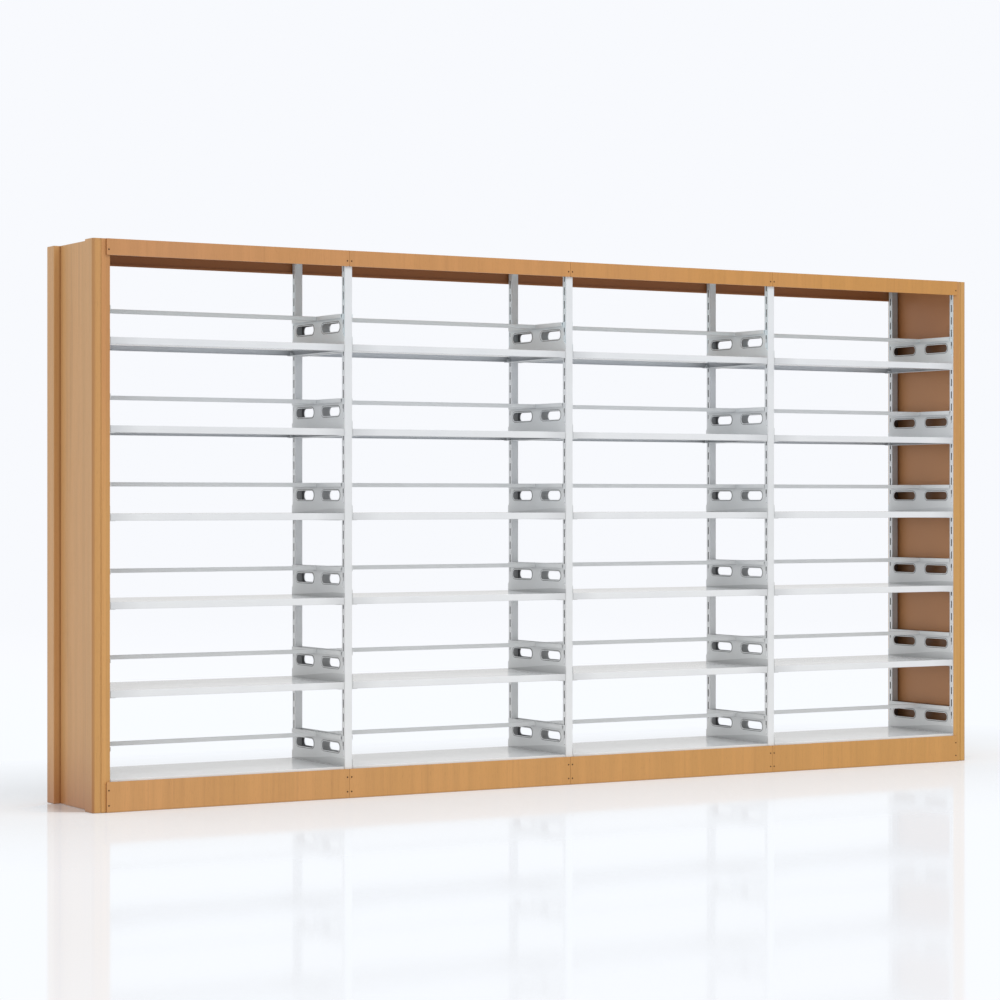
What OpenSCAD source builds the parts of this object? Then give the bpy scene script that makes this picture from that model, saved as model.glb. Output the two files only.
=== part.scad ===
// Steel library shelving: one range of four bays, six shelf levels, wood-grain covers.
// X runs along the range, Y from the front (-Y) to the rear, Z up from the floor.

/* [Rack] */
// Height over the top hoods
rack_h = 2100; // [1980:5:2400]
// Distance between the middles of neighbouring frames
bay_pitch = 1000; // [700:5:1200]
// Depth over the front and rear columns
depth = 450; // [380:5:600]

/* [Columns] */
// Column width, along the range
col_w = 32; // [28:1:44]
// Column depth, front to rear
col_d = 26; // [22:1:34]
// Wall of the column tube
col_wall = 1.5; // [1:0.1:2.5]
// Outside corner radius of the column tube
col_r = 2.5; // [2:0.5:5]
// Width of a hook slot
slot_w = 6; // [5:0.5:8]
// Height of a hook slot
slot_h = 31; // [25:1:36]
// Distance from one slot to the next
slot_pitch = 54; // [48:1:58]

/* [Frame ties] */
// Width of a cross tie between front and rear column
tie_w = 20; // [14:1:28]
// Height of a lower cross tie
tie_h = 40; // [25:1:60]
// Height of an upper cross tie, flat enough to stay hidden behind the fascia
top_tie_h = 15; // [10:1:30]
// Wall of a cross tie
tie_wall = 1.5; // [1:0.1:3]
// Underside of the lower tie above the floor
tie_low_z = 30; // [10:1:50]
// Top of the upper tie below the column top
tie_drop = 1; // [1:1:30]

/* [Shelf boards] */
// Top of the lowest board above the floor
first_top = 121.5; // [100:0.5:180]
// Thickness of a board over its folded edges
board_t = 26; // [20:1:36]
// Sheet of a board
board_sheet = 1; // [0.7:0.1:1.5]
// Radius of a board's folded long edges
board_r = 2; // [1.6:0.1:4]
// Width of the bottom return under each long edge
board_return = 16; // [12:1:20]
// Width of the stiffening channel under the board
rib_w = 60; // [30:5:120]
// Depth of the stiffening channel
rib_h = 16; // [8:1:18]
// Clearance between a board's end and the bracket plate
board_gap = 1.5; // [1:0.1:3]

/* [Brackets] */
// Sheet of a bracket
bracket_t = 2; // [1.5:0.1:3]
// Top of a bracket above the board's top
bracket_rise = 117; // [105:1:150]
// Width of the flange that carries the board
flange_w = 20; // [18:1:35]
// Width of the folded top edge, plate to lip
top_edge_w = 9; // [6:0.5:14]
// Height of the lip on the folded top edge
lip_h = 16; // [12:1:24]
// Height of the oval openings
oval_h = 35; // [20:1:45]
// Middle of the oval openings above the board's top
oval_z = 69; // [55:1:75]
// Plate left between the two oval openings
mid_web = 68; // [30:2:120]
// Plate left between an oval opening and the plate's edge
end_web = 22; // [12:1:60]
// Width of the raised rim round an oval opening
rim_w = 3; // [2:0.5:6]
// Height of the raised rim
rim_h = 1; // [0.4:0.1:1.2]
// Height of a hook where it passes the column wall
hook_h = 14; // [10:1:20]
// Drop of a hook's nose behind the column wall
hook_drop = 8; // [4:1:10]
// Thickness of a hook's nose
hook_nose = 2.5; // [1.5:0.1:4]

/* [Stop bars] */
// Depth of a stop bar, front to rear
bar_d = 15; // [10:1:25]
// Height of a stop bar
bar_h = 16; // [12:1:24]
// Wall of a stop bar
bar_wall = 1.2; // [0.8:0.1:2]
// Width and height of the tongue at a stop bar's end
tongue_w = 8; // [5:0.5:9]
// Length of the tongue behind the lip
tongue_out = 3; // [2:0.5:4]

/* [Top hoods] */
// Height of the fascia on a top hood
fascia_h = 60; // [45:1:90]
// Middle of the fascia screws below the top
fascia_screw_drop = 40; // [20:1:42]

/* [Plinths] */
// Top of a plinth above the floor
plinth_top = 112.6; // [95:0.2:150]
// Middle of the lower plinth screws above the floor
plinth_screw_low = 26; // [16:1:40]
// Middle of the upper plinth screws above the floor
plinth_screw_high = 81.5; // [60:0.5:82]

/* [Cover trays] */
// Sheet of the hoods, plinths and end panels
cover_sheet = 1; // [0.7:0.1:1.5]
// Depth of a fascia or plinth tray, back to face
tray_d = 8; // [5:0.5:14]
// Corner radius of a tray's face
tray_r = 5; // [3:0.5:10]
// Height of the lip on the back edge of a tray
tray_lip = 8; // [5:0.5:12]
// Gap between neighbouring covers
cover_gap = 1; // [0.5:0.1:3]

/* [End panels] */
// Distance from the end column's outer face to the end panel's outer face
end_out = 36; // [33:0.5:60]
// Depth of the recess between the front and rear posts
recess = 26; // [10:0.5:28]
// Depth of a post, front to rear
post_d = 74; // [50:1:110]
// Radius of a post's outer corner
post_r = 10; // [5:0.5:16]
// Radius of a post's inner corner
post_r_in = 3; // [2:0.5:5]
// Width of the groove beside the end column
groove_w = 6; // [3:0.5:8]
// Depth of the groove
groove_d = 2; // [1:0.5:6]
// Distance from the end column's outer face to the groove
groove_x = 1.5; // [1.2:0.1:3]

/* [Panel clips] */
// Sheet of a clip
clip_t = 2; // [1.5:0.1:3]
// Height of a clip
clip_h = 44; // [36:1:60]
// Length of a clip's foot on the end panel
clip_foot = 30; // [20:1:60]
// Distance from the post's inner wall to a clip's leg
clip_in = 20; // [10:1:40]

/* [Feet] */
// Thickness of a foot cap under the column
foot_h = 5; // [3:0.5:12]
// Height of a foot cap's plug inside the column
plug_h = 15; // [8:0.5:17]

/* [Cover screws] */
// Radius of a screw head
head_r = 3; // [2.5:0.1:3.6]
// Height of a screw head
head_h = 1.4; // [1:0.1:3]
// Radius of a screw shank
shank_r = 1.9; // [1.4:0.1:2.1]
// Distance from a joint between covers to the screws beside it
screw_x = 9; // [7:0.5:10]

/* [Clearances] */
// Between a screw shank and its hole in a cover
screw_clear = 0.4; // [0.2:0.1:0.8]
// Between a screw shank and its hole in a column
thread_clear = 0.1; // [0.05:0.05:0.3]
// Between a hook's nose and the column wall
hook_clear = 0.3; // [0.2:0.1:0.6]
// Between a stop bar and the brackets' lips
bar_clear = 0.3; // [0.2:0.1:0.8]
// Between a foot cap's plug and the column
plug_clear = 0.2; // [0.1:0.05:0.5]
// Between a bracket's locating tab and the board's return
tab_clear = 2; // [1:0.5:3]
// Between a bracket plate's edge and the slots beside it
edge_clear = 1; // [0.5:0.5:2]
// Between the floor and the covers
floor_gap = 1; // [0.5:0.5:10]

/* [Hidden] */
$fn = 48;
eps = 0.01;
bays = 4;
levels = 6;
frames = bays + 1;
sides = ["front", "rear"];
slots_per_level = 6;

wood = "#c8965f";
steel = "#e0e2e5";
plastic = "#2c2b2c";
blackened = "#3a2c20";

half_d = depth / 2;
cover_back = half_d + cover_sheet;
cover_face = cover_back + tray_d;
col_y = half_d - col_d / 2;
col_in = half_d - col_d;
col_top = rack_h - cover_sheet;
level_pitch = slots_per_level * slot_pitch;

// Slots: the first slot of each level lies this far above the board's top
hook_rise = 25;
slot_end_margin = 8;
slots_below = floor((first_top + hook_rise - slot_h / 2 - foot_h - slot_end_margin) / slot_pitch);
slots_above = floor((col_top - slot_end_margin - slot_h / 2 - first_top - hook_rise) / slot_pitch);

// Brackets: the full-depth foot of the plate covers the lower hook, then narrows at 45 degrees
plate_edge = col_y - slot_w / 2 - edge_clear;
flare_cover = 4;
flare_top = hook_rise - slot_h / 2 + hook_h + flare_cover;
oval_l = plate_edge - end_web - mid_web / 2;
tab_l = 12;
tab_w = 7;
tab_h = 10;
tab_x = 6;

board_l = bay_pitch - col_w - 2 * bracket_t - 2 * board_gap;
lip_x = top_edge_w + bracket_t;
bar_l = bay_pitch - col_w - 2 * lip_x - 2 * bar_clear;
bar_r = 2;
bar_z = bracket_rise - lip_h / 2;

end_x = bays * bay_pitch / 2;
end_col_face = end_x + col_w / 2;
end_face = end_col_face + end_out;
recess_face = end_face - recess;
post_in_y = cover_back - post_d;
clip_gap = recess_face - cover_sheet - end_col_face;
clip_levels = [1, 3, 6];

cover_l = bay_pitch - cover_gap;
recess_cut = 0.6;
recess_w = 0.9;

function frame_x(i) = (i - 1) * bay_pitch - end_x;
function bay_x(b) = frame_x(b) + bay_pitch / 2;
function board_top(l) = first_top + (l - 1) * level_pitch;
function side_sign(s) = s == "front" ? -1 : 1;
function screw_heights() = [plinth_screw_low, plinth_screw_high, rack_h - fascia_screw_drop];

// Rectangle about the origin with rounded corners
module rounded_rect(w, h, r) {
    square([w - 2 * r, h], center = true);
    square([w, h - 2 * r], center = true);
    for (x = [-1, 1], y = [-1, 1])
        translate([x * (w / 2 - r), y * (h / 2 - r)]) circle(r);
}

// Section of a rectangular tube about the origin
module tube_section(w, h, wall, r) {
    difference() {
        rounded_rect(w, h, r);
        rounded_rect(w - 2 * wall, h - 2 * wall, max(r - wall, 0.3));
    }
}

// Places its child on the front side as drawn, or turned over onto the rear side
module on_side(s) {
    mirror([0, side_sign(s) > 0 ? 1 : 0, 0]) children();
}

module on_both_sides() {
    for (s = sides) on_side(s) children();
}

// Places its child at the right end as drawn, and mirrored at the left end
module at_end(right) {
    mirror([right ? 0 : 1, 0, 0]) children();
}

// Extrudes an outline drawn in Y and Z along +X
module along_x(l) {
    rotate([90, 0, 90]) linear_extrude(l) children();
}

// Extrudes an outline drawn in X and Z from y to y + l
module along_y(y, l) {
    translate([0, y + l, 0]) rotate([90, 0, 0]) linear_extrude(l) children();
}

module screw_hole(x, z, r) {
    translate([x, 0, z]) rotate([90, 0, 0]) cylinder(h = 6 * col_wall, r = r, center = true);
}

// One slotted column tube, drawn at the front of its frame
module column_tube() {
    difference() {
        translate([0, -col_y, foot_h])
            linear_extrude(col_top - foot_h) tube_section(col_w, col_d, col_wall, col_r);
        for (k = [-slots_below:slots_above])
            translate([-col_w, -col_y - slot_w / 2, first_top + hook_rise + k * slot_pitch - slot_h / 2])
                cube([2 * col_w, slot_w, slot_h]);
        for (x = [-1, 1], z = screw_heights())
            translate([0, -half_d, 0]) screw_hole(x * screw_x, z, shank_r + thread_clear);
    }
}

module column(s, i) {
    color(steel) on_side(s) translate([frame_x(i), 0, 0]) column_tube();
}

// Tube from the front to the rear column, standing on z
module cross_tie(z, h) {
    translate([0, 0, z + h / 2]) along_y(-col_in, 2 * col_in) tube_section(tie_w, h, tie_wall, 2 * tie_wall);
}

// Cross ties, welded between the front and rear column of each frame
module frame_ties() {
    color(steel)
        for (i = [1:frames])
            translate([frame_x(i), 0, 0]) {
                cross_tie(tie_low_z, tie_h);
                cross_tie(col_top - tie_drop - top_tie_h, top_tie_h);
            }
}

// Plastic caps pushed into the column bottoms; they stand on the floor
module foot_caps() {
    plug_w = col_w - 2 * col_wall - 2 * plug_clear;
    plug_d = col_d - 2 * col_wall - 2 * plug_clear;
    color(plastic)
        for (i = [1:frames])
            on_both_sides() translate([frame_x(i), -col_y, 0]) {
                linear_extrude(foot_h) rounded_rect(col_w, col_d, col_r);
                linear_extrude(foot_h + plug_h) rounded_rect(plug_w, plug_d, 1.5);
            }
}

// Hook through a column slot; x = 0 is the column's face, z = 0 the slot's middle
module hook() {
    reach = col_wall + hook_clear + hook_nose;
    translate([-reach, -bracket_t / 2, -slot_h / 2])
        cube([reach + bracket_t, bracket_t, hook_h]);
    translate([-reach, -bracket_t / 2, -slot_h / 2 - hook_drop])
        cube([hook_nose, bracket_t, hook_drop + hook_h / 2]);
}

module oval(grow) {
    span = oval_l / 2 - oval_h / 2;
    square([2 * span, oval_h + 2 * grow], center = true);
    for (y = [-1, 1]) translate([y * span, 0]) circle(oval_h / 2 + grow);
}

module at_ovals() {
    for (y = [-1, 1]) translate([y * (mid_web / 2 + oval_l / 2), oval_z]) children();
}

// Outline of a bracket plate in Y and Z; z = 0 is the board's top
module plate_outline() {
    low = -board_t - bracket_t;
    step = half_d - plate_edge;
    polygon([
        [-half_d, low], [half_d, low], [half_d, flare_top], [plate_edge, flare_top + step],
        [plate_edge, bracket_rise], [-plate_edge, bracket_rise], [-plate_edge, flare_top + step],
        [-half_d, flare_top]
    ]);
    // Ears that carry the upper hooks
    for (y = [-1, 1])
        translate([y * (col_y + bracket_t / 2 + plate_edge - 2) / 2, hook_rise + slot_pitch - slot_h / 2 + hook_h / 2])
            square([col_y + bracket_t / 2 - plate_edge + 2, hook_h], center = true);
}

// Left bracket of a shelf; x = 0 is the column's face, z = 0 the board's top
module bracket() {
    along_x(bracket_t) difference() {
        plate_outline();
        at_ovals() oval(0);
    }
    translate([bracket_t - eps, 0, 0]) along_x(rim_h + eps) at_ovals() difference() {
        oval(rim_w);
        oval(0);
    }
    // Flange under the board, with two tabs that stand inside the board's returns
    translate([0, -half_d, -board_t - bracket_t]) cube([bracket_t + flange_w, depth, bracket_t]);
    tab_y = half_d - board_return - tab_clear - tab_w;
    for (y = [-tab_y - tab_w, tab_y])
        translate([bracket_t + tab_x, y, -board_t - eps]) cube([tab_l, tab_w, tab_h]);
    // Folded top edge with its lip, notched for the stop bar's tongue
    translate([0, -plate_edge, bracket_rise - bracket_t]) cube([lip_x, 2 * plate_edge, bracket_t]);
    notch = tongue_w + 2 * bar_clear;
    translate([lip_x - bracket_t, 0, 0]) along_x(bracket_t) difference() {
        translate([-plate_edge, bracket_rise - lip_h]) square([2 * plate_edge, lip_h]);
        translate([0, bar_z]) square(notch, center = true);
    }
    for (y = [-col_y, col_y], k = [0, 1])
        translate([0, y, hook_rise + k * slot_pitch]) hook();
}

// Left and right brackets of every level in one bay
module brackets_bay(b) {
    color(steel)
        for (l = [1:levels], right = [false, true])
            translate([bay_x(b), 0, board_top(l)])
                mirror([right ? 1 : 0, 0, 0])
                    translate([(col_w - bay_pitch) / 2, 0, 0]) bracket();
}

// Bar at mid depth that stops the books, held between a shelf's brackets
module stop_bar() {
    translate([-bar_l / 2, 0, bar_z]) along_x(bar_l) tube_section(bar_d, bar_h, bar_wall, bar_r);
    plug = 4;
    tongue = plug + bar_clear + bracket_t + tongue_out;
    for (right = [0, 1]) mirror([right, 0, 0]) {
        translate([bar_l / 2 - plug, 0, bar_z])
            along_x(plug) rounded_rect(bar_d - bar_wall, bar_h - bar_wall, bar_r - bar_wall / 2);
        translate([bar_l / 2 - plug, 0, bar_z]) along_x(tongue) square(tongue_w, center = true);
    }
}

module stop_bars_bay(b) {
    color(steel)
        for (l = [1:levels]) translate([bay_x(b), 0, board_top(l)]) stop_bar();
}

// Folded steel pan, open below, with a stiffening channel; z = 0 is its top
module board() {
    mid = -board_t / 2;
    mouth = depth - 2 * board_return;
    translate([-board_l / 2, 0, 0]) along_x(board_l) difference() {
        translate([0, mid]) tube_section(depth, board_t, board_sheet, board_r);
        translate([-mouth / 2, -board_t - eps]) square([mouth, board_t / 2]);
    }
    for (x = [-board_l / 2, board_l / 2 - board_sheet])
        translate([x, 0, 0]) along_x(board_sheet) translate([0, mid]) rounded_rect(depth, board_t, board_r);
    translate([-board_l / 2, 0, 0]) along_x(board_l) difference() {
        translate([-rib_w / 2, -rib_h]) square([rib_w, rib_h - board_sheet / 2]);
        translate([-rib_w / 2 + board_sheet, -rib_h + board_sheet]) square([rib_w - 2 * board_sheet, rib_h]);
    }
}

module shelf_board(b, l) {
    color(steel) translate([bay_x(b), 0, board_top(l)]) board();
}

// Outline of a cover's face in X and Z, with rounded corners along its lower edge
module face_outline(w, h, r) {
    translate([-w / 2, r]) square([w, h - r]);
    translate([-w / 2 + r, 0]) square([w - 2 * r, h]);
    for (x = [-1, 1]) translate([x * (w / 2 - r), r]) circle(r);
}

// Shallow folded tray at the front; its free edge, with the lip, is at z = 0
module cover_tray(h) {
    s = cover_sheet;
    difference() {
        along_y(-cover_face, tray_d) face_outline(cover_l, h, tray_r);
        translate([0, 0, s]) along_y(s - cover_face, tray_d) face_outline(cover_l - 2 * s, h - 2 * s, tray_r - s);
    }
    translate([-cover_l / 2 + tray_r, -cover_back - s, 0]) cube([cover_l - 2 * tray_r, s, tray_lip]);
}

// Holes in a cover's face for the two screws at one height
module cover_holes(z) {
    for (x = [-1, 1])
        translate([0, -cover_face, 0]) screw_hole(x * (bay_pitch / 2 - screw_x), z, shank_r + screw_clear);
}

// Top panel with a fascia folded down at the front and at the rear
module top_hood(b) {
    color(wood) translate([bay_x(b), 0, rack_h - fascia_h]) {
        on_both_sides() difference() {
            cover_tray(fascia_h);
            cover_holes(fascia_h - fascia_screw_drop);
        }
        translate([-cover_l / 2, -cover_face + eps, fascia_h - cover_sheet])
            cube([cover_l, 2 * (cover_face - eps), cover_sheet]);
    }
}

// Kick plate between two frames; the tray stands upside down, its free edge up
module plinth(s, b) {
    color(wood) on_side(s) translate([bay_x(b), 0, 0]) difference() {
        translate([0, 0, plinth_top]) mirror([0, 0, 1]) cover_tray(plinth_top - floor_gap);
        cover_holes(plinth_screw_low);
        cover_holes(plinth_screw_high);
    }
}

// Rounded block of one post in X and Y, front side, drawn in from the outer faces by inset
module post_block(inset) {
    left = recess_face - cover_sheet + inset;
    right = end_face - inset;
    front = -cover_back + inset;
    rear = -post_in_y - inset;
    ro = post_r - inset;
    ri = max(post_r_in - inset, 0.5);
    translate([left, front]) square([right - left - ro, rear - front]);
    translate([right - ro - eps, front + ro]) square([ro + eps, rear - front - ro - ri]);
    translate([right - ro, front + ro]) circle(ro);
    translate([right - ro - eps, front + ro]) square([ro - ri + eps, rear - front - ro]);
    translate([right - ri, rear - ri]) circle(ri);
}

// Section of the right end panel's folded sheet, seen from above
module panel_section() {
    s = cover_sheet;
    groove_in = end_col_face + groove_x;
    // Recessed sheet between the posts
    translate([recess_face - s, -post_in_y]) square([s, 2 * post_in_y]);
    on_both_sides() difference() {
        union() {
            post_block(0);
            // Strip in front of the end column
            translate([end_x - col_w / 2, -cover_back]) square([end_out - post_r + col_w, s]);
            // Outside of the groove
            translate([groove_in - s, -cover_back]) square([groove_w + 2 * s, groove_d + s]);
        }
        difference() {
            post_block(s);
            translate([groove_in - s, -cover_back]) square([groove_w + 2 * s, groove_d + s]);
        }
        translate([groove_in, -cover_back - eps]) square([groove_w, groove_d + eps]);
    }
}

// Wood-grain end panel with a box post at the front and rear edge and a top cap
module end_panel(right) {
    color(wood) at_end(right) {
        difference() {
            translate([0, 0, floor_gap]) linear_extrude(rack_h - floor_gap) panel_section();
            for (s = sides, z = screw_heights())
                on_side(s) translate([end_x, -cover_back, 0]) screw_hole(-screw_x, z, shank_r + screw_clear);
            // The strip stops under the hood
            translate([end_x - col_w, -cover_back - 1, rack_h - cover_sheet])
                cube([col_w + cover_gap / 2, 2 * cover_back + 2, 2 * cover_sheet]);
        }
        translate([0, 0, rack_h - cover_sheet]) linear_extrude(cover_sheet) {
            on_both_sides() post_block(0);
            translate([end_x + cover_gap / 2, -cover_back])
                square([recess_face - end_x - cover_gap / 2, 2 * cover_back]);
        }
    }
}

// Clips welded to the end panels' inner faces and hooked into the end columns' outer slots
module clip() {
    leg_y = post_in_y - clip_in;
    translate([0, leg_y, -clip_h / 2]) cube([clip_t, col_y + bracket_t / 2 - leg_y, clip_h]);
    translate([0, leg_y, -clip_h / 2]) cube([clip_gap, clip_t, clip_h]);
    translate([clip_gap - clip_t, leg_y - clip_foot, -clip_h / 2]) cube([clip_t, clip_foot + clip_t, clip_h]);
    translate([0, col_y, 0]) hook();
}

module panel_clips() {
    color(steel)
        for (right = [true, false], l = clip_levels)
            at_end(right) on_both_sides()
                translate([end_col_face, 0, board_top(l) + hook_rise]) mirror([0, 1, 0]) clip();
}

// Cross-recess screw through a cover at the front; y = 0 is the cover's face
module cover_screw() {
    shank_l = cover_face - half_d + 2 * col_wall;
    rotate([90, 0, 0]) difference() {
        union() {
            cylinder(h = head_h, r = head_r);
            translate([0, 0, -shank_l]) cylinder(h = shank_l + eps, r = shank_r);
        }
        for (a = [0, 90])
            rotate(a) translate([-head_r * recess_cut, -recess_w / 2, head_h / 2])
                cube([2 * head_r * recess_cut, recess_w, head_h]);
    }
}

module cover_screws() {
    color(blackened)
        for (b = [1:bays], x = [-1, 1], z = screw_heights())
            on_both_sides()
                translate([bay_x(b) + x * (bay_pitch / 2 - screw_x), -cover_face, z]) cover_screw();
}

for (s = sides, i = [1:frames])
    column(s, i);
frame_ties();
foot_caps();
for (b = [1:bays])
    brackets_bay(b);
for (b = [1:bays])
    stop_bars_bay(b);
for (b = [1:bays], l = [1:levels])
    shelf_board(b, l);
end_panel(false);  // end_panel_left
end_panel(true);  // end_panel_right
panel_clips();
for (b = [1:bays])
    top_hood(b);
for (s = sides, b = [1:bays])
    plinth(s, b);
cover_screws();
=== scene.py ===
"""Looks of a range of library shelving: coated steel, wood-grain covers, screws, beads and a pale studio.

Every length is in metres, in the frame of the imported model: +X along the range, -Y to the front, +Z up.
"""
import math

import bmesh
import bpy
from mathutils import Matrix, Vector


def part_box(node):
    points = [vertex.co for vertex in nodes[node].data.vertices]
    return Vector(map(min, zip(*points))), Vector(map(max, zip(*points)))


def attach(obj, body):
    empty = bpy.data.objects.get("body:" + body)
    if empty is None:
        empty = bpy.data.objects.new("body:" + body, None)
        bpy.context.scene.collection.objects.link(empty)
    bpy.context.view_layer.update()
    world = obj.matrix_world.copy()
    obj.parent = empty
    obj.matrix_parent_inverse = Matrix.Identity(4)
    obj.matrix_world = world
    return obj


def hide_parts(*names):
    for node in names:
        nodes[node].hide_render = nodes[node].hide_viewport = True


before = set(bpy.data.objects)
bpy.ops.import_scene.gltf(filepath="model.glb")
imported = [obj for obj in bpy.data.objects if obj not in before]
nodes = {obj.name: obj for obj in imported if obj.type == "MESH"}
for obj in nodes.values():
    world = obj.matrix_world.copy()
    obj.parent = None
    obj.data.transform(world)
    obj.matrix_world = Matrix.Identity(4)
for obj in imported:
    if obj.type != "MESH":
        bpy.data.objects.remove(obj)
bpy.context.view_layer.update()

BAYS = 4
LEVELS = 6
MM = 0.001
# the frames stand at whole metres along X
BAY = 1.0
RANGE_END = BAYS / 2 * BAY

# Lowest and highest corners of nodes that the finishes and the small pieces follow, or the highest alone.
# The column is the third frame's, whose middle is at X 0.
column_low, column_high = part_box("column_rear_3")
hood_low, hood_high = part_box("top_hood_1")
low_board_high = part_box("shelf_board_b1_l1")[1]
top_board_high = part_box("shelf_board_b1_l6")[1]
brackets_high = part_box("brackets_bay_1")[1]
plinth_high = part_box("plinth_rear_1")[1]
panel_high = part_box("end_panel_right")[1]

# Columns. A mask's border lies a little before or behind the face that it tells apart.
COLUMN_HALF = column_high.x
COLUMN_MIDDLE = (column_low.y + column_high.y) / 2
TUBE_INSIDE_X = COLUMN_HALF - 0.7 * MM
TUBE_INSIDE_Y = column_high.y - COLUMN_MIDDLE - 0.8 * MM
OUTER_FACE = column_high.y - 0.6 * MM
LAST_FRAME = RANGE_END - 30 * MM

# Boards, and the bracket plates with their two oval openings
BOARD_TOP = low_board_high.z
TOP_BOARD = top_board_high.z
BOARD_STEP = (TOP_BOARD - BOARD_TOP) / (LEVELS - 1)
PLATE_TOP = brackets_high.z - TOP_BOARD
PLATE_FACE = COLUMN_HALF + 2 * MM
PLATE_REACH = column_low.y + 1.3 * MM
OVAL_MIDDLE = 0.110
OVAL_HIGH = 0.069
OVAL_LONG = 0.152
OVAL_TALL = 0.035

# Hoods and plinths, and the screws in their ends
COVER_FACE = plinth_high.y
COVER_BACK = COVER_FACE - 0.6 * MM
PLINTH_INSIDE_TOP = plinth_high.z - 1.2 * MM
HOOD_LIP = hood_low.z + 1.2 * MM
HOOD_INSIDE_TOP = hood_high.z - 0.8 * MM
SCREW_SIDE = 0.009
SCREW_HEIGHTS = (0.026, 0.0815, hood_high.z - 0.040)

# The range's outline on the floor
RANGE_HALF_X, RANGE_HALF_Y = panel_high.x, COVER_FACE + 2 * MM

# End panels, with round-edged posts, a groove beside the last column and a lining behind the brackets
POST_FACE = panel_high.y
POST_ROUND = 10 * MM
POST_BEND_X, POST_BEND_Y = RANGE_HALF_X - POST_ROUND, POST_FACE - POST_ROUND
POST_BACK_X, POST_BACK_Y = RANGE_HALF_X - 23 * MM, POST_FACE - 75.5 * MM
GROOVE_X = RANGE_END + COLUMN_HALF + 1.5 * MM
GROOVE_MIDDLE = GROOVE_X + 3 * MM
LINING_X, LINING_Y = RANGE_HALF_X - 26.7 * MM, POST_FACE - 3.5 * MM
SEEN_LINING_Y = COLUMN_MIDDLE

# Heights between which a coat's painted light and painted warmth, and the posts' painted light, change
PAINTED_GAIN_CHANGE = (0.3, 1.75)
PAINTED_CAST_CHANGE = (0.5, 1.9)
POST_LIGHT_CHANGE = (0.3, 1.9)

# Camera, fitted to the photograph's edges
CAMERA_PLACE = (-6.0065, -9.7950, 1.1437)
CAMERA_TURN = math.radians(-30.70)
CAMERA_LENS = 101.2
CAMERA_REACH = 200
SENSOR = 36.0

# Studio
BACKDROP = (0.940, 0.955, 0.990)
BACKDROP_STRENGTH = 1.0
FILL = (1.0, 0.995, 0.99)
FILL_STRENGTH = 0.78
LAMP_AIM = (0, 0, 1.0)
FLOOR_RADIUS = 24.0
FLOOR_MATT = (0.95, 0.955, 0.97, 1.0)
FLOOR_FADE = (4.0, 12.0)
FLOOR_GLOW = 0.854
BOUNCE = (0.955, 0.957, 0.962, 1.0)
GLOW_SHARE = 0.72
FLOOR_MIRROR = 0.09
MIRROR_BLUR = 0.07
# the same for the floor as the camera sees it, near the range and away from it
SEEN_GLOW = 1.03
SEEN_GLOW_FADE = (5.0, 16.0)
SEEN_GLOW_SHARE = 0.3
SEEN_SHARE_FADE = (0.4, 1.7)
SEEN_MIRROR = 0.17
SEEN_MIRROR_FADE = (3.0, 9.0)
SEEN_MIRROR_TINT = (1.12, 1.24, 1.33, 1.0)
# and right beside the end panels, in a zone that narrows and fades away from them
FOOT_MIRROR = 0.62
FOOT_MIRROR_TINT = (0.90, 0.97, 1.05, 1.0)
FOOT_SLANT = 0.55
FOOT_HALF = (0.15, 0.18)
FOOT_START = (-0.04, -0.03)
FOOT_FADE = (0.04, 0.19)
WHITE = (1, 1, 1, 1)


def linear(red, green, blue):
    """A colour given as 0 to 255 screen values, as the linear values that shaders use."""
    def one(value):
        value /= 255
        return value / 12.92 if value <= 0.04045 else ((value + 0.055) / 1.055) ** 2.4
    return one(red), one(green), one(blue), 1.0


# Node helpers. A value is a number, a colour or another node's output.

def set_or_link(tree, socket, value):
    if isinstance(value, bpy.types.NodeSocket):
        tree.links.new(value, socket)
    else:
        socket.default_value = value


def add(tree, kind, settings=None, **inputs):
    """One node: its settings, then its inputs by name, or by number after an underscore."""
    made = tree.nodes.new(kind)
    for key, value in (settings or {}).items():
        setattr(made, key, value)
    for key, value in inputs.items():
        socket = made.inputs[int(key[1:])] if key[0] == "_" else made.inputs[key.replace("_", " ")]
        set_or_link(tree, socket, value)
    return made


def math_node(tree, operation, a, b=0.0):
    return add(tree, "ShaderNodeMath", {"operation": operation}, _0=a, _1=b).outputs[0]


def plus(tree, a, b):
    return math_node(tree, "ADD", a, b)


def minus(tree, a, b):
    return math_node(tree, "SUBTRACT", a, b)


def times(tree, first, *others):
    """The product of values; of masks, it holds where all of them do."""
    for other in others:
        first = math_node(tree, "MULTIPLY", first, other)
    return first


def absolute(tree, value):
    return math_node(tree, "ABSOLUTE", value)


def vector_node(tree, operation, a, b):
    return add(tree, "ShaderNodeVectorMath", {"operation": operation}, _0=a, _1=b).outputs[0]


def scaled(tree, vector, factor):
    return add(tree, "ShaderNodeVectorMath", {"operation": "SCALE"}, _0=vector, Scale=factor).outputs[0]


def length(tree, vector):
    return add(tree, "ShaderNodeVectorMath", {"operation": "LENGTH"}, _0=vector).outputs["Value"]


def combine(tree, x, y, z):
    return add(tree, "ShaderNodeCombineXYZ", X=x, Y=y, Z=z).outputs[0]


def x_y_z(tree, place):
    return tuple(add(tree, "ShaderNodeSeparateXYZ", Vector=place).outputs)


def spread(tree, value, low, high, to_low, to_high):
    """The value's range low to high, carried to another range and held inside it."""
    return add(tree, "ShaderNodeMapRange", Value=value, From_Min=low, From_Max=high,
               To_Min=to_low, To_Max=to_high).outputs[0]


def within(tree, value, half, soft=0.2 * MM):
    """1 where the value lies less than half from 0, fading to 0 over a narrow border."""
    return spread(tree, absolute(tree, value), half - soft, half + soft, 1, 0)


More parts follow.
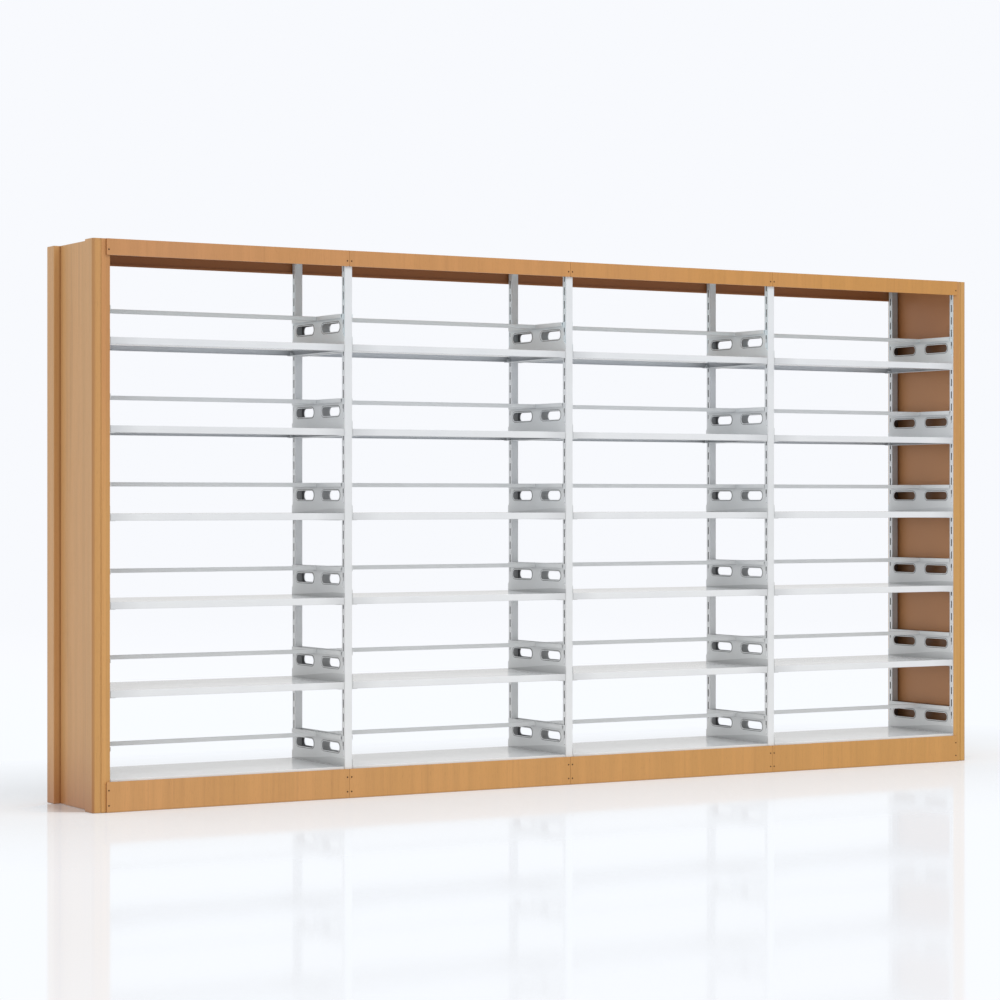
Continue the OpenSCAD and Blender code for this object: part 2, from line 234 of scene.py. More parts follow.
def noise(tree, place, per_metre, detail=2.0, rough=0.5):
    """Noise on a place, with its own number of waves per metre along X, Y and Z."""
    return add(tree, "ShaderNodeTexNoise", Vector=vector_node(tree, "MULTIPLY", place, per_metre),
               Scale=1.0, Detail=detail, Roughness=rough).outputs["Fac"]


def mix_colour(tree, share, a, b, blend="MIX"):
    made = add(tree, "ShaderNodeMix", {"data_type": "RGBA", "blend_type": blend})
    for socket, value in ((made.inputs[0], share), (made.inputs[6], a), (made.inputs[7], b)):
        set_or_link(tree, socket, value)
    return made.outputs[2]


def tinted(tree, tone, tint):
    return mix_colour(tree, 1.0, tone, tint, "MULTIPLY")


def new_finish(name):
    """An empty material, its node tree, its shader and the place on the piece."""
    material = bpy.data.materials.new(name)
    material.use_nodes = True
    tree = material.node_tree
    place = add(tree, "ShaderNodeTexCoord").outputs["Object"]
    return material, tree, tree.nodes["Principled BSDF"], place


def set_bump(tree, shader, relief, depth):
    bump = add(tree, "ShaderNodeBump", Height=relief, Distance=depth, Strength=1.0)
    tree.links.new(bump.outputs[0], shader.inputs["Normal"])


# Places on the range, worked out from X and Z

def from_frame(tree, x):
    """Distance along X from the nearest frame's middle, with its sign. Frames stand at whole metres."""
    return minus(tree, x, math_node(tree, "ROUND", x))


def above_board(tree, z):
    """Height over the board top below, from 0 to the boards' spacing."""
    steps = math_node(tree, "DIVIDE", minus(tree, z, BOARD_TOP), BOARD_STEP)
    # over the top level the height stays at the spacing
    steps = math_node(tree, "MINIMUM", steps, LEVELS - 0.001)
    return times(tree, math_node(tree, "FRACT", steps), BOARD_STEP)


def plate_level(tree, z):
    """1 at the heights that a bracket plate covers."""
    return within(tree, minus(tree, above_board(tree, z), PLATE_TOP / 2), PLATE_TOP / 2, 3 * MM)


# Masks: each gives the share of its own tone, from 0 to 1, at a place. Plain numbers are metres or shares.

def shade_inside_column(tree, place):
    """Painted shade on the tubes' inner walls, which lie in the dark inside the tubes."""
    x, y, _ = x_y_z(tree, place)
    deep = minus(tree, absolute(tree, y), COLUMN_MIDDLE)
    return times(tree, within(tree, from_frame(tree, x), TUBE_INSIDE_X), within(tree, deep, TUBE_INSIDE_Y))


def shade_between_plates(tree, place):
    """Painted shade on the columns' inner faces in the narrow gap between two bays' bracket plates."""
    _, y, z = x_y_z(tree, place)
    return times(tree, plate_level(tree, z), within(tree, y, PLATE_REACH), 0.6)


def beside_panel(tree, place):
    """The end columns' inner faces, which the end panels shade, most of all behind the bracket plates."""
    x, y, z = x_y_z(tree, place)
    last = spread(tree, absolute(tree, x), LAST_FRAME, LAST_FRAME + 5 * MM, 0, 1)
    share = spread(tree, plate_level(tree, z), 0, 1, 0.42, 0.93)
    return times(tree, last, within(tree, y, PLATE_REACH), share)


def under_hood(tree, place):
    """Everything above the top boards but the outer faces: the hoods' warm bounce is held back there."""
    _, y, z = x_y_z(tree, place)
    high = spread(tree, z, TOP_BOARD + 3.5 * MM, TOP_BOARD + 13.5 * MM, 0, 1)
    return times(tree, high, within(tree, y, OUTER_FACE))


def shade_behind_plate(tree, place):
    """Painted shade on the brackets' faces in the narrow gap between two bays, darkest beside the columns.
    """
    x, y, z = x_y_z(tree, place)
    gap = within(tree, from_frame(tree, x), COLUMN_HALF + 0.3 * MM)
    level = within(tree, minus(tree, above_board(tree, z), OVAL_HIGH), 30 * MM, 4 * MM)
    return times(tree, gap, level, spread(tree, absolute(tree, y), 0.02, 0.16, 0.36, 0.88))


def plate_foot(tree, place):
    """The strip of a bracket plate just above its board, which lies in the board's shade."""
    _, y, z = x_y_z(tree, place)
    height = above_board(tree, z)
    # the strip grows from the rear to the front, and is lower on the middle boards
    limit = spread(tree, y, 0.225, -0.12, 0, 31 * MM)
    limit = times(tree, limit, spread(tree, z, 0.5, 0.8, 1, 0.55))
    inside = spread(tree, minus(tree, limit, height), -1.2 * MM, 1.2 * MM, 0, 1)
    low_boards = spread(tree, z, 0.9, 1.3, 1, 0)
    return times(tree, inside, low_boards, spread(tree, height, 0, 29 * MM, 0.32, 0.15))


def near_plate(tree, place):
    """The board tops beside the bracket plates, which shade them."""
    x, y, _ = x_y_z(tree, place)
    from_plate = minus(tree, absolute(tree, from_frame(tree, x)), PLATE_FACE + 1.5 * MM)
    # light comes in from the front and the rear
    ends = spread(tree, absolute(tree, y), 0.14, 0.225, 1, 0.6)
    return times(tree, spread(tree, from_plate, 0, 0.12, 0.32, 0), ends)


def inside_cover(tree, place):
    """The back of the hoods' and plinths' sheet: its plain base coat, painted darker for the shade inside
    the covers.
    """
    _, y, z = x_y_z(tree, place)
    low = spread(tree, z, PLINTH_INSIDE_TOP - 0.2 * MM, PLINTH_INSIDE_TOP + 0.2 * MM, 1, 0)
    over_lip = spread(tree, z, HOOD_LIP - 0.1 * MM, HOOD_LIP + 0.1 * MM, 0, 1)
    under_top = spread(tree, z, HOOD_INSIDE_TOP, HOOD_INSIDE_TOP + 0.3 * MM, 1, 0)
    heights = plus(tree, low, times(tree, over_lip, under_top))
    return times(tree, within(tree, y, COVER_BACK), heights)


def inside_panel(tree, place):
    """The end panels' lining, seen between the last columns: a plain lining, painted darker and redder for
    its shade.
    """
    x, y, _ = x_y_z(tree, place)
    return times(tree, within(tree, x, LINING_X), within(tree, y, LINING_Y))


def behind_last_plate(tree, place):
    """The lining's strips in the dark behind the last bracket plates."""
    _, y, z = x_y_z(tree, place)
    middle = within(tree, y, SEEN_LINING_Y)
    return times(tree, inside_panel(tree, place), middle, times(tree, plate_level(tree, z), 0.62))


# Finishes

def powder_coat(name, colour, shade, gloss, masks=(), peel_depth=0.06 * MM,
                sides=(1.0, 1.0), faces=(1.0, 1.0)):
    """Light powder coat on steel: orange peel, a slight mottle and uneven gloss, then each mask's own tone.

    The gains for the sides and for the outer faces are painted light, and each runs from the lowest boards
    to the highest.
    """
    material, tree, shader, place = new_finish(name)
    mottle = noise(tree, place, (7, 7, 7), 3)
    peel = noise(tree, place, (620, 620, 620), 2, 0.55)
    ripple = noise(tree, place, (150, 150, 150), 2)
    speck = noise(tree, place, (2400, 2400, 2400), 1)
    tone = mix_colour(tree, spread(tree, mottle, 0.3, 0.7, 0, 1), shade, colour)
    tone = mix_colour(tree, spread(tree, speck, 0.66, 0.74, 0, 0.12), tone, linear(150, 151, 152))
    _, y, z = x_y_z(tree, place)
    # painted light: the sides and the outer faces each get a gain that changes with height
    outer = spread(tree, absolute(tree, y), OUTER_FACE - 0.2 * MM, OUTER_FACE, 0, 1)
    painted_light_gain = spread(tree, outer, 0, 1, spread(tree, z, *PAINTED_GAIN_CHANGE, *sides),
                  spread(tree, z, *PAINTED_GAIN_CHANGE, *faces))
    # a painted tint, standing in for the light, makes the coat a little cooler towards the top of the range
    # than near the floor
    painted_cast = mix_colour(tree, spread(tree, z, *PAINTED_CAST_CHANGE, 0, 1),
                      (1.0, 0.99, 0.975, 1), (0.997, 1.0, 1.005, 1))
    tone = tinted(tree, tone, scaled(tree, painted_cast, painted_light_gain))
    for mask, own_tone in masks:
        tone = mix_colour(tree, mask(tree, place), tone, own_tone)
    tree.links.new(tone, shader.inputs["Base Color"])
    shine = plus(tree, spread(tree, mottle, 0.3, 0.7, *gloss), spread(tree, peel, 0.3, 0.7, -0.02, 0.02))
    tree.links.new(shine, shader.inputs["Roughness"])
    shader.inputs["Specular IOR Level"].default_value = 0.5
    set_bump(tree, shader, plus(tree, times(tree, ripple, 0.6), peel), peel_depth)
    return material


def panel_print(tree, tone, wide, deep, z):
    """The print's tone on an end panel, with its painted sheen, light and shade, by the distances from the
    middle along X and Y and by height.
    """
    # painted sheen makes the faces to the sides paler and greyer, and painted shade makes them darker and
    # redder towards the floor
    pale = tinted(tree, tone, (1.03, 1.12, 1.32, 1))
    low = math_node(tree, "POWER", spread(tree, z, 0, 0.35, 1, 0), 2.0)
    pale = mix_colour(tree, low, pale, tinted(tree, pale, (0.70, 0.54, 0.48, 1)))
    # redder on the posts' fronts between the groove and the bay, and cooler in the groove, where painted
    # light holds back the groove's warm shade
    red = tinted(tree, tone, (0.93, 0.85, 0.88, 1))
    groove = tinted(tree, tone, (0.97, 1.02, 1.04, 1))
    front = spread(tree, deep, POST_FACE - 0.7 * MM, POST_FACE - 0.3 * MM, 0, 1)
    inner_strip = times(tree, front, spread(tree, wide, GROOVE_X - MM, GROOVE_X, 1, 0))
    tone = mix_colour(tree, times(tree, inner_strip, spread(tree, z, 1.1, 1.6, 0, 1)), tone, red)
    tone = mix_colour(tree, front, pale, tone)
    in_groove = times(tree, within(tree, minus(tree, wide, GROOVE_MIDDLE), 3.5 * MM),
                      spread(tree, deep, POST_FACE - 2.5 * MM, POST_FACE - 2 * MM, 0, 1))
    tone = mix_colour(tree, in_groove, tone, groove)
    # painted light makes the posts' fronts lighter towards the floor
    painted_light_gain = mix_colour(tree, spread(tree, z, *POST_LIGHT_CHANGE, 0, 1),
                      (1.09, 1.11, 1.02, 1), (0.96, 0.98, 1.0, 1))
    post_front = spread(tree, deep, POST_FACE - 2.8 * MM, POST_FACE - 2.3 * MM, 0, 1)
    tone = mix_colour(tree, post_front, tone, tinted(tree, tone, painted_light_gain))
    # painted shade darkens the print on a post's round corner
    bend_shade = times(tree, spread(tree, wide, POST_BEND_X, POST_BEND_X + 4 * MM, 0, 1),
                 spread(tree, deep, POST_BEND_Y, POST_BEND_Y + 3 * MM, 0, 1), 0.55)
    tone = mix_colour(tree, bend_shade, tone, linear(166, 112, 62))
    # and painted shade darkens the inner corner behind each post
    corner_shade = times(tree, within(tree, minus(tree, deep, POST_BACK_Y), 2.5 * MM, 1.5 * MM),
                   within(tree, wide, POST_BACK_X, 1.5 * MM), 0.8)
    return mix_colour(tree, corner_shade, tone, linear(140, 80, 32))


def wood_grain(name, pink, gold, masks, contrast=1.0, panel=False):
    """Wood-grain print on steel, the grain upright: bands, streaks, fibres and short dark flecks."""
    material, tree, shader, place = new_finish(name)
    x, y, z = x_y_z(tree, place)
    deep = absolute(tree, y)
    # the grain of a folded cover runs up its face and on across its top
    grain = place if panel else combine(tree, x, 0.0, minus(tree, z, deep))
    # each bay's covers are cut from another stretch of the print
    bay = math_node(tree, "FLOOR", x)
    stretch = combine(tree, times(tree, bay, 0.37), 0.0, times(tree, bay, 5.3))
    sway = scaled(tree, (1, 1, 0), times(tree, noise(tree, grain, (3.0, 3.0, 1.1), 2), 0.03))
    grain = vector_node(tree, "ADD", vector_node(tree, "ADD", grain, stretch), sway)
    drift = plus(tree, x, times(tree, noise(tree, grain, (2.6, 2.6, 0.3), 1), 2.0))
    band = noise(tree, grain, (21, 21, 0.35), 1)
    streak = noise(tree, grain, (62, 62, 0.8), 2, 0.5)
    fibre = noise(tree, grain, (620, 620, 6), 3, 0.6)
    fleck = noise(tree, grain, (1300, 1300, 34), 1)
    tone = mix_colour(tree, spread(tree, drift, -1.4, 2.6, 0, 1), pink, gold)
    light = tinted(tree, tone, (1.11, 1.10, 1.12, 1))
    dark = tinted(tree, tone, (0.87, 0.84, 0.85, 1))
    tone = mix_colour(tree, spread(tree, band, 0.42, 0.62, 0, 0.8 * contrast), tone, light)
    tone = mix_colour(tree, spread(tree, streak, 0.54, 0.72, 0, 0.6 * contrast), tone, dark)
    tone = mix_colour(tree, spread(tree, fibre, 0.52, 0.8, 0, 0.32), tone, linear(170, 118, 62))
    tone = mix_colour(tree, spread(tree, fleck, 0.66, 0.74, 0, 0.4), tone, linear(136, 88, 48))
    # the lowest edge of every cover lies in shade
    tone = scaled(tree, tone, spread(tree, z, 0, 7 * MM, 0.7, 1))
    if panel:
        tone = panel_print(tree, tone, absolute(tree, x), deep, z)
    for mask, own_tone in masks:
        tone = mix_colour(tree, mask(tree, place), tone, own_tone)
    tree.links.new(tone, shader.inputs["Base Color"])
    tree.links.new(spread(tree, fibre, 0.3, 0.75, 0.32, 0.44), shader.inputs["Roughness"])
    shader.inputs["Specular IOR Level"].default_value = 0.5
    hollows = plus(tree, fibre, spread(tree, fleck, 0.66, 0.74, 0, 0.8))
    set_bump(tree, shader, minus(tree, times(tree, streak, 0.4), hollows), 0.05 * MM)
    return material


def foot_plastic(name):
    """Black moulded plastic with a fine spark-eroded grain."""
    material, tree, shader, place = new_finish(name)
    grain = noise(tree, place, (1500, 1500, 1500), 2)
    worn = noise(tree, place, (60, 60, 60), 3)
    tree.links.new(mix_colour(tree, spread(tree, worn, 0.4, 0.7, 0, 1), linear(34, 34, 35),
                              linear(52, 51, 50)), shader.inputs["Base Color"])
    tree.links.new(spread(tree, worn, 0.3, 0.7, 0.45, 0.6), shader.inputs["Roughness"])
    set_bump(tree, shader, grain, 0.08 * MM)
    return material


def screw_steel(name):
    """Dark brown lacquered steel, rubbed to bare metal here and there."""
    material, tree, shader, place = new_finish(name)
    rub = noise(tree, place, (900, 900, 900), 3)
    bare = spread(tree, rub, 0.58, 0.7, 0, 0.6)
    tree.links.new(mix_colour(tree, bare, linear(70, 46, 30), linear(150, 128, 108)),
                   shader.inputs["Base Color"])
    tree.links.new(spread(tree, rub, 0.3, 0.7, 0.3, 0.5), shader.inputs["Roughness"])
    shader.inputs["Metallic"].default_value = 0.7
    set_bump(tree, shader, rub, 0.02 * MM)
    return material


STEEL = linear(229, 232, 235), linear(224, 227, 230)
PLATE_STEEL = linear(222, 225, 227), linear(216, 219, 221)
BOARD_STEEL = linear(233, 236, 239), linear(229, 232, 236)
# the beads' dark grey is a painted shadow line around each oval opening
BEAD_SHADE_STEEL = linear(116, 117, 119), linear(108, 109, 111)
SATIN = (0.34, 0.42)

# each coat's sides and faces gains below are painted light
column_coat = powder_coat("column_coat", *STEEL, (0.30, 0.38), [
    (under_hood, linear(227, 240, 246)),
    (shade_inside_column, linear(44, 44, 46)),
    (shade_between_plates, linear(60, 60, 62)),
    (beside_panel, linear(64, 48, 36)),
], sides=(1.07, 1.03), faces=(1.06, 0.93))
tie_coat = powder_coat("tie_coat", *STEEL, SATIN)
bracket_coat = powder_coat("bracket_coat", *PLATE_STEEL, SATIN, [
    (under_hood, linear(229, 237, 240)),
    (shade_behind_plate, linear(92, 92, 96)),
    (plate_foot, linear(60, 61, 63)),
], sides=(1.08, 1.06))
bar_coat = powder_coat("bar_coat", *PLATE_STEEL, SATIN, [
    (under_hood, linear(219, 227, 230)),
], sides=(1.15, 1.0))
board_coat = powder_coat("board_coat", *BOARD_STEEL, (0.05, 0.08), [
    (near_plate, linear(96, 97, 99)),
], peel_depth=0.01 * MM, sides=(1.04, 1.02), faces=(1.05, 0.92))
bead_shade_coat = powder_coat("bead_shade_coat", *BEAD_SHADE_STEEL, SATIN)
# the covers' backs: plain base coat, painted darker for the shade inside them
cover_inside = [(inside_cover, linear(166, 112, 70))]
hood_wood = wood_grain("hood_wood", linear(191, 137, 91), linear(193, 139, 73), cover_inside, contrast=0.6)
plinth_wood = wood_grain("plinth_wood", linear(206, 152, 94), linear(204, 150, 82), cover_inside,
                         contrast=0.8)
panel_wood = wood_grain("panel_wood", linear(198, 146, 88), linear(197, 148, 85), [
    # the lining: a plain lining, painted darker and redder for its shade
    (inside_panel, linear(188, 131, 84)),
    (behind_last_plate, linear(46, 36, 26)),
], panel=True)
foot_cap = foot_plastic("foot_plastic")
screw_head = screw_steel("screw_steel")

NODE_FINISHES = {
    "column_": column_coat, "frame_ties": tie_coat, "brackets_": bracket_coat, "stop_bars_": bar_coat,
    "panel_clips": bar_coat, "shelf_board_": board_coat, "top_hood_": hood_wood, "plinth_": plinth_wood,
    "end_panel_": panel_wood, "foot_caps": foot_cap, "cover_screws": screw_head,
}


def finish_frame_nodes():
    """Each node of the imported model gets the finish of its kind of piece."""
    for name, piece in nodes.items():
        kind = next(start for start in NODE_FINISHES if name.startswith(start))
        piece.data.materials.clear()
        piece.data.materials.append(NODE_FINISHES[kind])


# Small pieces made with Geometry Nodes

def shape_tree(name, sizes):
    """A Geometry Nodes tree with its sizes and its finish as named inputs."""
    tree = bpy.data.node_groups.new(name, "GeometryNodeTree")
    tree.interface.new_socket("Geometry", in_out="INPUT", socket_type="NodeSocketGeometry")
    for label, value in sizes.items():
        kind = "NodeSocketInt" if isinstance(value, int) else "NodeSocketFloat"
        tree.interface.new_socket(label, in_out="INPUT", socket_type=kind).default_value = value
    tree.interface.new_socket("Finish", in_out="INPUT", socket_type="NodeSocketMaterial")
    tree.interface.new_socket("Geometry", in_out="OUTPUT", socket_type="NodeSocketGeometry")
    return tree, add(tree, "NodeGroupInput"), add(tree, "NodeGroupOutput")


def set_on_places(tree, given, result, shape, turned):
    """Puts the shape on every place, turned to the place's facing, as one real mesh with its finish."""
    facing = add(tree, "GeometryNodeInputNamedAttribute", {"data_type": "FLOAT_VECTOR"}, Name="facing")
    upright = add(tree, "FunctionNodeAxesToRotation", {"primary_axis": "Z", "secondary_axis": "Y"},
                  _0=facing.outputs["Attribute"], _1=(0, 0, 1))
    rotation = upright.outputs[0]
    if turned:
        # each shape has its own random turn, up to a full circle
        own = add(tree, "FunctionNodeRandomValue", {"data_type": "FLOAT"}, Seed=given.outputs["Seed"])
        own.inputs[3].default_value = math.tau
        spin = add(tree, "FunctionNodeAxisAngleToRotation", Axis=(0, 0, 1), Angle=own.outputs[1])
        rotation = add(tree, "FunctionNodeRotateRotation", {"rotation_space": "LOCAL"},
                       Rotation=rotation, Rotate_By=spin.outputs[0]).outputs[0]
    placed = add(tree, "GeometryNodeInstanceOnPoints", Points=given.outputs["Geometry"], Instance=shape,
                 Rotation=rotation)
    real = add(tree, "GeometryNodeRealizeInstances", Geometry=placed.outputs[0])
    finished = add(tree, "GeometryNodeSetMaterial", Geometry=real.outputs[0],
                   Material=given.outputs["Finish"])
    tree.links.new(finished.outputs[0], result.inputs[0])


def grow(name, tree, sizes, places, finish, body):
    """Runs a tree on places, each a point and its facing, and keeps the result as a plain mesh piece."""
    mesh = bpy.data.meshes.new(name)
    mesh.from_pydata([point for point, _ in places], [], [])
    facing = mesh.attributes.new("facing", "FLOAT_VECTOR", "POINT")
    for entry, (_, direction) in zip(facing.data, places):
        entry.vector = direction
    piece = bpy.data.objects.new(name, mesh)
    bpy.context.scene.collection.objects.link(piece)
    modifier = piece.modifiers.new("shape", "NODES")
    modifier.node_group = tree
    for item in tree.interface.items_tree:
        if item.in_out == "INPUT" and item.name in sizes:
            modifier[item.identifier] = sizes[item.name]
        if item.in_out == "INPUT" and item.name == "Finish":
            modifier[item.identifier] = finish
    piece.update_tag()
    bpy.context.view_layer.update()
    made = bpy.data.meshes.new_from_object(piece.evaluated_get(bpy.context.evaluated_depsgraph_get()))
    piece.modifiers.remove(modifier)
    piece.data = made
    bpy.data.meshes.remove(mesh)
    made.name = name
    if "facing" in made.attributes:
        made.attributes.remove(made.attributes["facing"])
    if not made.materials:
        made.materials.append(finish)
    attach(piece, body)
    return piece


def box(tree, x, y, z, middle_z):
    """A box of the given sizes, its middle at a height over the place."""
    cube = add(tree, "GeometryNodeMeshCube", Size=combine(tree, x, y, z))
    return add(tree, "GeometryNodeTransform", Geometry=cube.outputs[0],
               Translation=combine(tree, 0.0, 0.0, middle_z)).outputs[0]


def screw_tree():
    """Domed screw with a cross recess and a plain shank, its head's seat at the place."""
    sizes = {"Head Radius": 3 * MM, "Head Height": 1.4 * MM, "Recess Length": 3.4 * MM,
             "Recess Width": 0.8 * MM, "Recess Depth": 0.9 * MM, "Shank Radius": 1.9 * MM,
             "Shank Length": 12 * MM, "Seed": 7}
    tree, given, result = shape_tree("cover_screw_shape", sizes)
    head_r, head_h = given.outputs["Head Radius"], given.outputs["Head Height"]
    ball = add(tree, "GeometryNodeMeshUVSphere", Segments=24, Rings=16, Radius=1.0)
    dome = add(tree, "GeometryNodeTransform", Geometry=ball.outputs[0],
               Scale=combine(tree, head_r, head_r, head_h))
    # the ball's lower half and the recess's two arms are cut away
    cut = add(tree, "GeometryNodeMeshBoolean", {"operation": "DIFFERENCE", "solver": "EXACT"})
    tree.links.new(dome.outputs[0], cut.inputs["Mesh 1"])
    block = times(tree, head_r, 3.0)
    under = box(tree, block, block, block, times(tree, block, -0.5))
    tree.links.new(under, cut.inputs["Mesh 2"])
    arm_middle = plus(tree, minus(tree, head_h, given.outputs["Recess Depth"]), head_h)
    arm_tall = times(tree, head_h, 2.0)
    for x, y in (("Recess Length", "Recess Width"), ("Recess Width", "Recess Length")):
        arm = box(tree, given.outputs[x], given.outputs[y], arm_tall, arm_middle)
        tree.links.new(arm, cut.inputs["Mesh 2"])
    shank = add(tree, "GeometryNodeMeshCylinder", Vertices=20, Radius=given.outputs["Shank Radius"],
                Depth=given.outputs["Shank Length"])
    low = times(tree, given.outputs["Shank Length"], -0.5)
    shank = add(tree, "GeometryNodeTransform", Geometry=shank.outputs["Mesh"],
                Translation=combine(tree, 0.0, 0.0, plus(tree, low, 0.1 * MM)))
    whole = add(tree, "GeometryNodeMeshBoolean", {"operation": "UNION", "solver": "EXACT"})
    tree.links.new(cut.outputs[0], whole.inputs["Mesh 2"])
    tree.links.new(shank.outputs[0], whole.inputs["Mesh 2"])
    set_on_places(tree, given, result, whole.outputs[0], turned=True)
    return tree, sizes


def bay_end_x(bay, end, inset):
    """X at an inset from a bay's left (end -1) or right (end 1) frame, on the bay's side."""
    return (bay + 0.5 - BAYS / 2) * BAY + end * (BAY / 2 - inset)


def cover_screws():
    """One screw in each fascia end and two in each plinth end, front and rear."""
    places = []
    for side in (-1, 1):
        for bay in range(BAYS):
            for end in (-1, 1):
                x = bay_end_x(bay, end, SCREW_SIDE)
                for z in SCREW_HEIGHTS:
                    places.append(((x, side * COVER_FACE, z), (0, side, 0)))
    tree, sizes = screw_tree()
    piece = grow("cover_screw_heads", tree, sizes, places, screw_head, "rack")
    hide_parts("cover_screws")


def oval_bead_tree():
    """Flat half-round bead pressed up around an oval opening, its foot at the place."""
    sizes = {"Opening Length": OVAL_LONG, "Opening Height": OVAL_TALL, "Offset": 4 * MM,
             "Bead Height": 1 * MM, "Bead Width": 2.6 * MM}
    tree, given, result = shape_tree("oval_bead_shape", sizes)
    twice = times(tree, given.outputs["Offset"], 2.0)
    wide = plus(tree, given.outputs["Opening Length"], twice)
    tall = plus(tree, given.outputs["Opening Height"], twice)
    path = add(tree, "GeometryNodeCurvePrimitiveQuadrilateral", Width=wide, Height=tall)
    # the radius stays just under half the height, so that the round ends don't meet
    path = add(tree, "GeometryNodeFilletCurve", {"mode": "POLY"}, Curve=path.outputs[0],
               Radius=times(tree, tall, 0.4999))
    path.inputs["Count"].default_value = 7
    circle = add(tree, "GeometryNodeCurvePrimitiveCircle", {"mode": "RADIUS"}, Resolution=8, Radius=1.0)
    half_wide = times(tree, given.outputs["Bead Width"], 0.5)
    profile = add(tree, "GeometryNodeTransform", Geometry=circle.outputs[0],
                  Scale=combine(tree, half_wide, given.outputs["Bead Height"], 1.0))
    bead = add(tree, "GeometryNodeCurveToMesh", Curve=path.outputs[0], Profile_Curve=profile.outputs[0])
    set_on_places(tree, given, result, bead.outputs[0], turned=False)
    return tree, sizes


def oval_beads():
    """A bead around both openings of every bracket plate, on its bay side."""
    places = []
    for bay in range(BAYS):
        for end in (-1, 1):
            x = bay_end_x(bay, end, PLATE_FACE)
            for level in range(LEVELS):
                z = BOARD_TOP + level * BOARD_STEP + OVAL_HIGH
                for side in (-1, 1):
                    places.append(((x, side * OVAL_MIDDLE, z), (-end, 0, 0)))
    tree, sizes = oval_bead_tree()
    # their dark finish is a painted shadow line around the openings
    grow("oval_beads", tree, sizes, places, bead_shade_coat, "rack")


# Studio

def studio_world():
    """An even pale backdrop for the camera, and a softer fill for everything else."""
    world = bpy.data.worlds.new("studio")
    world.use_nodes = True
    tree = world.node_tree
    tree.nodes.clear()
    seen = add(tree, "ShaderNodeBackground", Color=(*BACKDROP, 1.0), Strength=BACKDROP_STRENGTH)
    fill = add(tree, "ShaderNodeBackground", Color=(*FILL, 1.0), Strength=FILL_STRENGTH)
    path = add(tree, "ShaderNodeLightPath")
    sky = add(tree, "ShaderNodeMixShader", _0=path.outputs["Is Camera Ray"], _1=fill.outputs[0],
              _2=seen.outputs[0])
    add(tree, "ShaderNodeOutputWorld", Surface=sky.outputs[0])
    bpy.context.scene.world = world


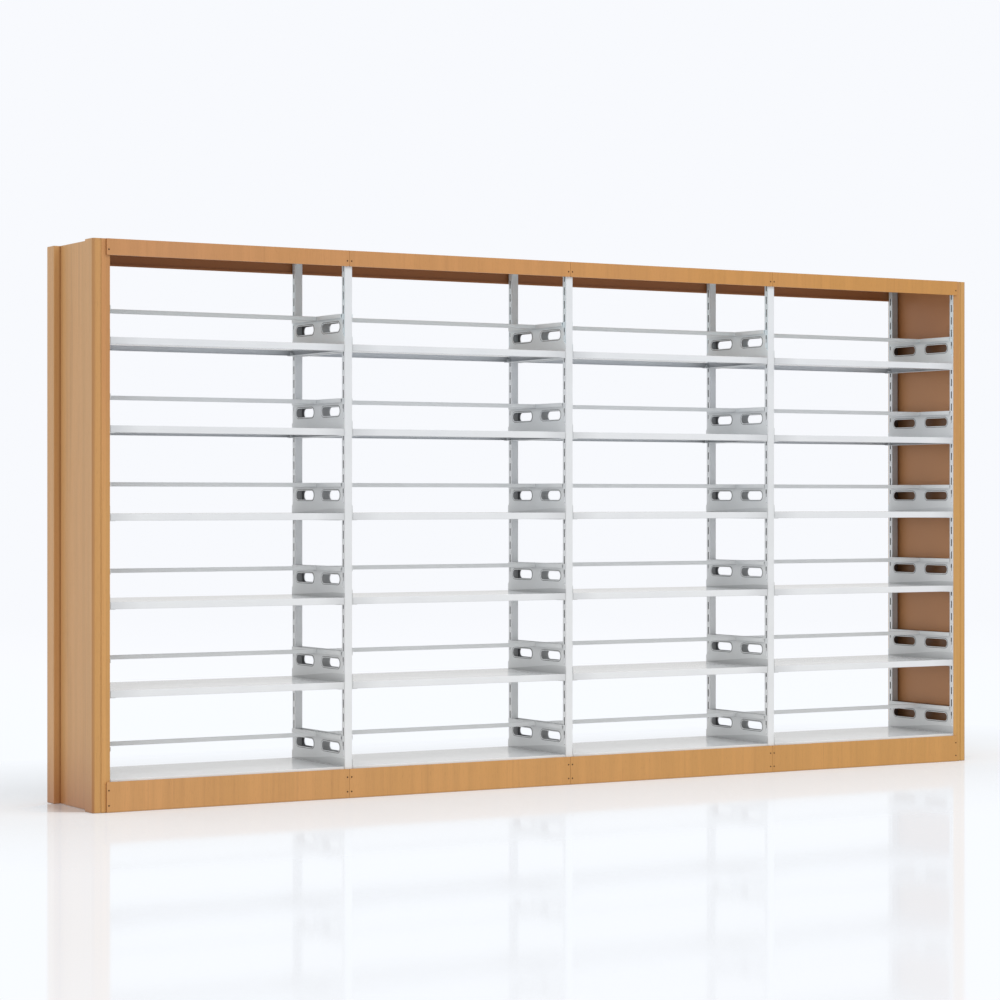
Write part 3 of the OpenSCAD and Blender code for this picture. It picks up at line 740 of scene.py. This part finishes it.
def floor_finish():
    """A soft mirror image of the range on a pale floor, white away from it and out into the backdrop."""
    material = bpy.data.materials.new("floor_white")
    material.use_nodes = True
    tree = material.node_tree
    tree.nodes.clear()
    place = add(tree, "ShaderNodeTexCoord").outputs["Object"]
    x, y, _ = x_y_z(tree, place)
    wide, deep = absolute(tree, x), absolute(tree, y)
    # distances from the floor's middle, from an end panel's side and from the range's outline
    reach = length(tree, place)
    out = minus(tree, wide, RANGE_HALF_X)
    beyond_x = math_node(tree, "MAXIMUM", out, 0.0)
    beyond_y = math_node(tree, "MAXIMUM", minus(tree, deep, RANGE_HALF_Y), 0.0)
    away = length(tree, combine(tree, beyond_x, beyond_y, 0.0))
    # the zone beside an end panel, where the floor mirrors it most
    slant = plus(tree, times(tree, out, FOOT_SLANT), deep)
    foot = times(tree, spread(tree, slant, *FOOT_HALF, 1, 0), spread(tree, out, *FOOT_FADE, 1, 0),
                 spread(tree, out, *FOOT_START, 0, 1))
    seen = add(tree, "ShaderNodeLightPath").outputs["Is Camera Ray"]
    matt = add(tree, "ShaderNodeBsdfDiffuse", Color=FLOOR_MATT)
    seen_glow = spread(tree, reach, *SEEN_GLOW_FADE, SEEN_GLOW, BACKDROP_STRENGTH)
    glow = add(tree, "ShaderNodeEmission", Color=mix_colour(tree, seen, BOUNCE, (*BACKDROP, 1.0)),
               Strength=spread(tree, seen, 0, 1, FLOOR_GLOW, seen_glow))
    share = spread(tree, seen, 0, 1, spread(tree, reach, *FLOOR_FADE, GLOW_SHARE, 1.0),
                   spread(tree, away, *SEEN_SHARE_FADE, SEEN_GLOW_SHARE, 1.0))
    lit = add(tree, "ShaderNodeMixShader", _0=share, _1=matt.outputs[0], _2=glow.outputs[0])
    tint = mix_colour(tree, seen, WHITE, SEEN_MIRROR_TINT)
    tint = mix_colour(tree, times(tree, seen, foot), tint, FOOT_MIRROR_TINT)
    mirror = add(tree, "ShaderNodeBsdfGlossy", Color=tint, Roughness=MIRROR_BLUR)
    seen_part = spread(tree, away, *SEEN_MIRROR_FADE, SEEN_MIRROR, 0.0)
    part = spread(tree, seen, 0, 1, spread(tree, reach, *FLOOR_FADE, FLOOR_MIRROR, 0.0),
                  spread(tree, foot, 0, 1, seen_part, FOOT_MIRROR))
    shine = add(tree, "ShaderNodeMixShader", _0=part, _1=lit.outputs[0], _2=mirror.outputs[0])
    add(tree, "ShaderNodeOutputMaterial", Surface=shine.outputs[0])
    return material


def studio_floor():
    """A wide disc under the range, which belongs to the stage and not to the object."""
    mesh = bpy.data.meshes.new("floor")
    build = bmesh.new()
    bmesh.ops.create_circle(build, cap_ends=True, segments=96, radius=FLOOR_RADIUS)
    build.to_mesh(mesh)
    build.free()
    mesh.materials.append(floor_finish())
    floor = bpy.data.objects.new("floor", mesh)
    bpy.context.scene.collection.objects.link(floor)


def softbox(name, place, width, height, power):
    """An area lamp aimed at the range's middle, which leaves no image of itself on shiny surfaces."""
    light = bpy.data.lights.new(name, "AREA")
    light.shape = "RECTANGLE"
    light.size, light.size_y = width, height
    light.energy = power
    lamp = bpy.data.objects.new(name, light)
    lamp.visible_glossy = False
    lamp.location = place
    lamp.rotation_euler = (Vector(LAMP_AIM) - Vector(place)).to_track_quat("-Z", "Y").to_euler()
    bpy.context.scene.collection.objects.link(lamp)


def photo_camera():
    """The photograph's view, level and turned towards the range."""
    camera = bpy.data.cameras.new("photo_camera")
    camera.lens = CAMERA_LENS
    camera.sensor_width = SENSOR
    camera.clip_end = CAMERA_REACH
    seen = bpy.data.objects.new("photo_camera", camera)
    seen.location = CAMERA_PLACE
    seen.rotation_euler = (math.radians(90), 0, CAMERA_TURN)
    bpy.context.scene.collection.objects.link(seen)
    bpy.context.scene.camera = seen


bpy.context.scene.view_settings.view_transform = "Standard"
photo_camera()
studio_world()
studio_floor()
softbox("high_softbox", place=(0.5, -3.4, 5.4), width=6.0, height=2.4, power=107)
softbox("left_softbox", place=(-7.0, -2.5, 2.5), width=4.0, height=3.0, power=23)
finish_frame_nodes()
cover_screws()
oval_beads()
